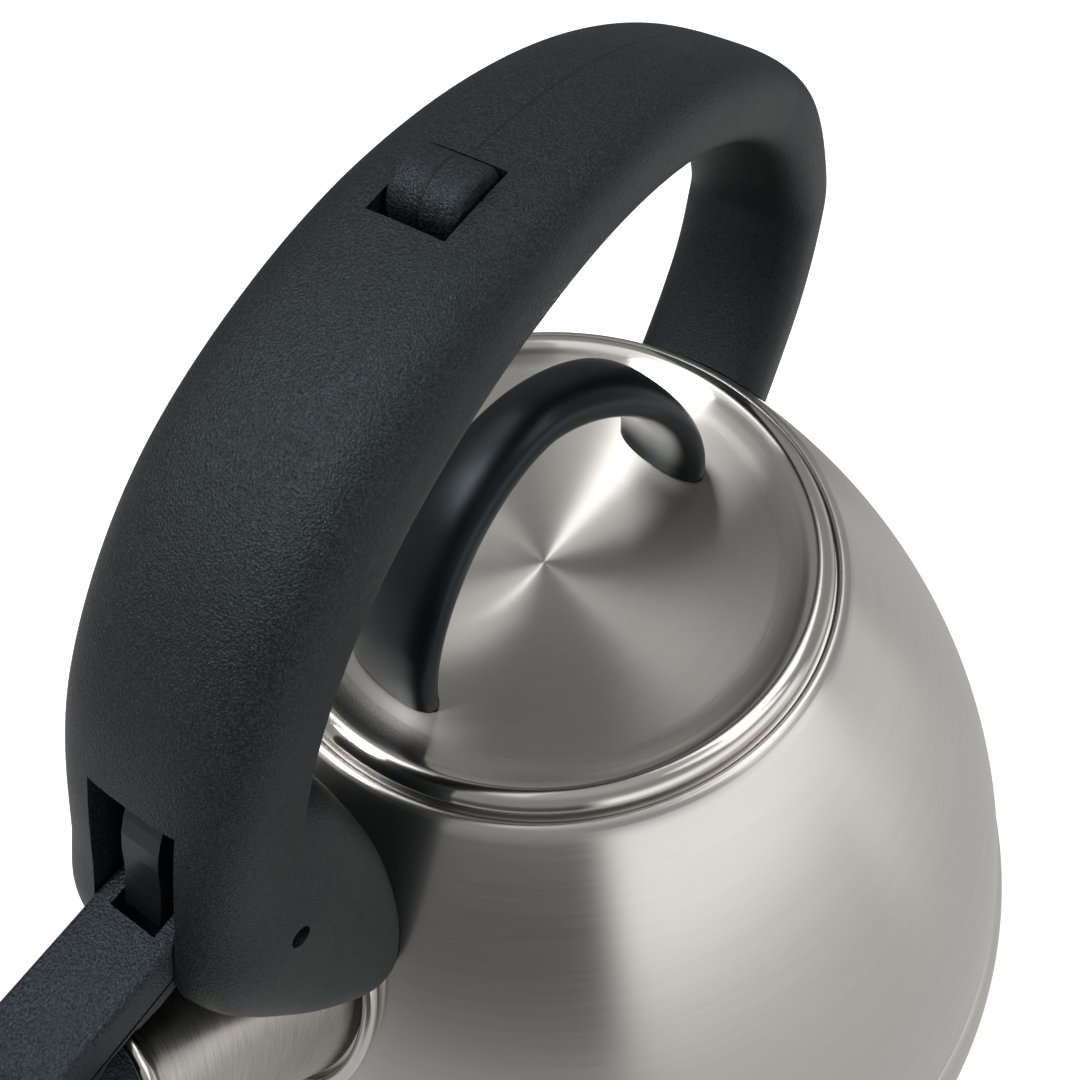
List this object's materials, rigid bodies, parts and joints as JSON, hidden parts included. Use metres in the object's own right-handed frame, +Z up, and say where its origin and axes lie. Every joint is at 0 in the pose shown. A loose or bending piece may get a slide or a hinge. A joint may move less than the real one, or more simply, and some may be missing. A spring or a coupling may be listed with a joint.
{
  "type": "stovetop whistling kettle",
  "caption": "Domed steel stovetop kettle with an arched fixed handle, a thumb trigger that lifts the spout's whistle cap through a hidden rod, and a lift-out lid with a strap grip.",
  "frame": {"origin": "middle of the flat underside, which rests on the hob", "axes": "+Z up; +X towards the spout; the handle lies in the XZ plane, which is the symmetry plane"},
  "size_m": [0.2533, 0.2384, 0.2337],
  "materials": {
    "brushed_steel": "satin brushed",
    "polished_steel": "polished",
    "aluminium": "plain",
    "black_plastic": "fine grain",
    "satin_plastic": "smooth satin",
    "seal_rubber": "soft matte",
    "fixing_steel": "bright"
  },
  "bodies": {
    "kettle_body": {"body_shell": "brushed_steel", "base_cap": "brushed_steel", "heat_spreader": "aluminium", "lower_shell": "brushed_steel", "spout_tube": "brushed_steel", "spout_root_ring": "polished_steel", "handle_shell": "black_plastic", "handle_inner_cover": "black_plastic", "handle_front_boss": "brushed_steel", "handle_front_screw": "fixing_steel", "handle_rear_bracket": "brushed_steel", "handle_rear_screw": "fixing_steel", "lever_pivot_pin": "fixing_steel", "trigger_pivot_pin": "fixing_steel", "lever_spring": "fixing_steel"},
    "trigger": {"trigger_button": "black_plastic"},
    "rod": {"pull_rod": "black_plastic", "rod_top_pin": "fixing_steel"},
    "lever": {"whistle_lever": "black_plastic", "lever_link_pin": "fixing_steel", "lever_lower_plate": "black_plastic", "whistle_cap": "black_plastic", "whistle_outer_disc": "brushed_steel", "whistle_inner_disc": "brushed_steel", "whistle_spacer": "brushed_steel", "cap_seal": "seal_rubber"},
    "lid": {"lid_disc": "brushed_steel", "lid_skirt": "brushed_steel", "lid_handle": "satin_plastic", "lid_front_washer": "fixing_steel", "lid_rear_washer": "fixing_steel", "lid_front_screw": "fixing_steel", "lid_rear_screw": "fixing_steel"}
  },
  "joints": [
    {"name": "lever_hinge", "type": "hinge", "parent": "kettle_body", "child": "lever", "pos_m": [0.0835, 0, 0.163], "axis": [0, -1, 0], "range_deg": [0, 22], "stiffness_Nm_per_rad": 0.08, "springref_deg": -17.19, "deforming": ["lever_spring"]},
    {"name": "trigger_hinge", "type": "hinge", "parent": "kettle_body", "child": "trigger", "pos_m": [0.0165, 0, 0.2248], "axis": [0, 1, 0], "range_deg": [0, 22]},
    {"name": "rod_travel", "type": "hinge", "parent": "kettle_body", "child": "rod", "pos_m": [0.0177, 0, 0.1523], "axis": [0, -1, 0], "range_deg": [0, 2]},
    {"name": "lid_lift", "type": "slide", "parent": "kettle_body", "child": "lid", "axis": [0, 0, 1], "range_m": [0, 0.03]}
  ],
  "couplings": [
    {"joint": "trigger_hinge", "follows": "lever_hinge", "ratio": 1},
    {"joint": "rod_travel", "follows": "lever_hinge", "ratio": 0.0904}
  ]
}
